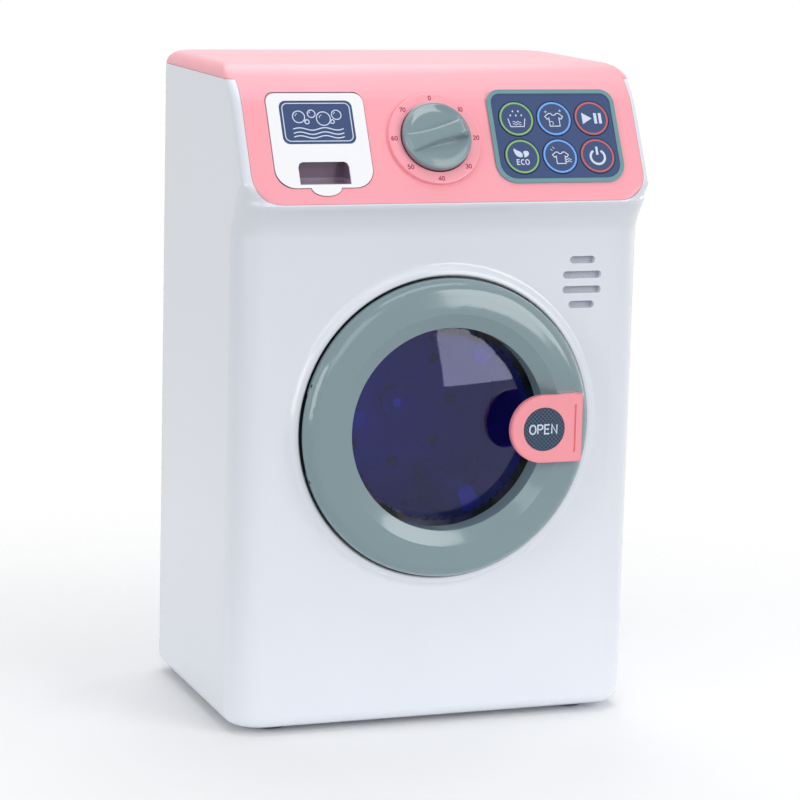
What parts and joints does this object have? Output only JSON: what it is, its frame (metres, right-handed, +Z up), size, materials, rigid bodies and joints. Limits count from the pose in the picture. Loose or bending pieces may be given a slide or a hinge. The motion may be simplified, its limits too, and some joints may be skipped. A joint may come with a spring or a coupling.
{
  "type": "toy washing machine",
  "caption": "Front-loading toy washing machine with a hinged round door, turning drum, timer knob, press keys and a pull-out detergent drawer.",
  "frame": {"origin": "middle of the footprint, on the surface the rubber feet stand on", "axes": "+Z up, -Y out of the front with the door, +X to the right seen from the front"},
  "size_m": [0.1744, 0.1327, 0.27],
  "materials": {
    "white_shell": "gloss",
    "pink_shell": "gloss",
    "pink_handle": "gloss",
    "teal_plastic": "gloss",
    "dark_plastic": "satin",
    "navy_print": "satin",
    "key_cap": "satin",
    "tinted_lens": "clear tinted plastic",
    "drum_grey": "satin",
    "inner_white": "satin",
    "rubber_foot": "matt",
    "steel": "bright",
    "brass": "bright",
    "board_green": "matt",
    "black_part": "matt",
    "speaker_cloth": "woven",
    "battery_wrap": "satin",
    "lead_cover": "satin"
  },
  "bodies": {
    "cabinet": {"front_shell": "white_shell", "rear_cover": "white_shell", "top_cap": "pink_shell", "feet": "rubber_foot", "rear_screws": "steel", "cap_screws": "steel", "drawer_guide": "inner_white", "drawer_guide_screws": "steel", "keypad_frame": "teal_plastic", "keypad_panel": "navy_print", "circuit_board": "board_green", "switch_housings": "black_part", "board_chips": "black_part", "board_screws": "steel", "speaker_cloth": "speaker_cloth", "speaker_cone": "black_part", "speaker_frame": "steel", "hinge_pin": "steel", "door_catch": "inner_white", "tub": "inner_white", "tub_screws": "steel", "shaft_bush": "brass", "drive_plate": "inner_white", "drive_screws": "steel", "motor": "steel", "battery_1": "battery_wrap", "battery_2": "battery_wrap", "battery_3": "battery_wrap", "battery_contacts": "steel", "power_switch_body": "black_part", "motor_leads": "lead_cover", "speaker_leads": "lead_cover", "power_leads": "lead_cover"},
    "door": {"door_ring": "teal_plastic", "door_lens": "tinted_lens", "door_back": "dark_plastic", "door_screws": "steel", "door_handle": "pink_handle", "handle_label": "navy_print", "handle_screws": "steel"},
    "drum": {"drum": "drum_grey", "drum_shaft": "steel", "drum_gear": "inner_white"},
    "pinion": {"motor_pinion": "brass", "motor_shaft": "steel"},
    "drawer": {"drawer": "white_shell", "drawer_label": "navy_print"},
    "knob": {"knob": "teal_plastic", "knob_washer": "steel", "knob_screw": "steel"},
    "key_1": {"key_1": "key_cap"},
    "key_2": {"key_2": "key_cap"},
    "key_3": {"key_3": "key_cap"},
    "key_4": {"key_4": "key_cap"},
    "key_5": {"key_5": "key_cap"},
    "key_6": {"key_6": "key_cap"},
    "power_slider": {"power_switch_slider": "black_part"},
    "battery_lid": {"battery_cover": "white_shell", "battery_cover_screw": "steel"}
  },
  "joints": [
    {"name": "door_hinge", "type": "hinge", "parent": "cabinet", "child": "door", "pos_m": [-0.0574, -0.0561, 0.1254], "axis": [0, 0, -1], "range_deg": [0, 94]},
    {"name": "drum_spin", "type": "hinge", "parent": "cabinet", "child": "drum", "pos_m": [0, -0.0217, 0.1254], "axis": [0, 1, 0], "continuous": true},
    {"name": "pinion_spin", "type": "hinge", "parent": "cabinet", "child": "pinion", "pos_m": [0, 0.0283, 0.0984], "axis": [0, 1, 0], "continuous": true},
    {"name": "drawer_slide", "type": "slide", "parent": "cabinet", "child": "drawer", "axis": [0, -1, 0], "range_m": [0, 0.034]},
    {"name": "knob_turn", "type": "hinge", "parent": "cabinet", "child": "knob", "pos_m": [-0.0053, -0.04642, 0.24143], "axis": [0, -0.8788, 0.4772], "continuous": true},
    {"name": "key_1_press", "type": "slide", "parent": "cabinet", "child": "key_1", "axis": [0, 0.8788, -0.4772], "range_m": [0, 0.0008], "stiffness_N_per_m": 400},
    {"name": "key_2_press", "type": "slide", "parent": "cabinet", "child": "key_2", "axis": [0, 0.8788, -0.4772], "range_m": [0, 0.0008], "stiffness_N_per_m": 400},
    {"name": "key_3_press", "type": "slide", "parent": "cabinet", "child": "key_3", "axis": [0, 0.8788, -0.4772], "range_m": [0, 0.0008], "stiffness_N_per_m": 400},
    {"name": "key_4_press", "type": "slide", "parent": "cabinet", "child": "key_4", "axis": [0, 0.8788, -0.4772], "range_m": [0, 0.0008], "stiffness_N_per_m": 400},
    {"name": "key_5_press", "type": "slide", "parent": "cabinet", "child": "key_5", "axis": [0, 0.8788, -0.4772], "range_m": [0, 0.0008], "stiffness_N_per_m": 400},
    {"name": "key_6_press", "type": "slide", "parent": "cabinet", "child": "key_6", "axis": [0, 0.8788, -0.4772], "range_m": [0, 0.0008], "stiffness_N_per_m": 400},
    {"name": "power_slide", "type": "slide", "parent": "cabinet", "child": "power_slider", "axis": [0, 0, 1], "range_m": [0, 0.004]},
    {"name": "battery_lid_off", "type": "slide", "parent": "cabinet", "child": "battery_lid", "axis": [0, 1, 0], "range_m": [0, 0.03]}
  ],
  "couplings": [
    {"joint": "pinion_spin", "follows": "drum_spin", "ratio": -4}
  ]
}
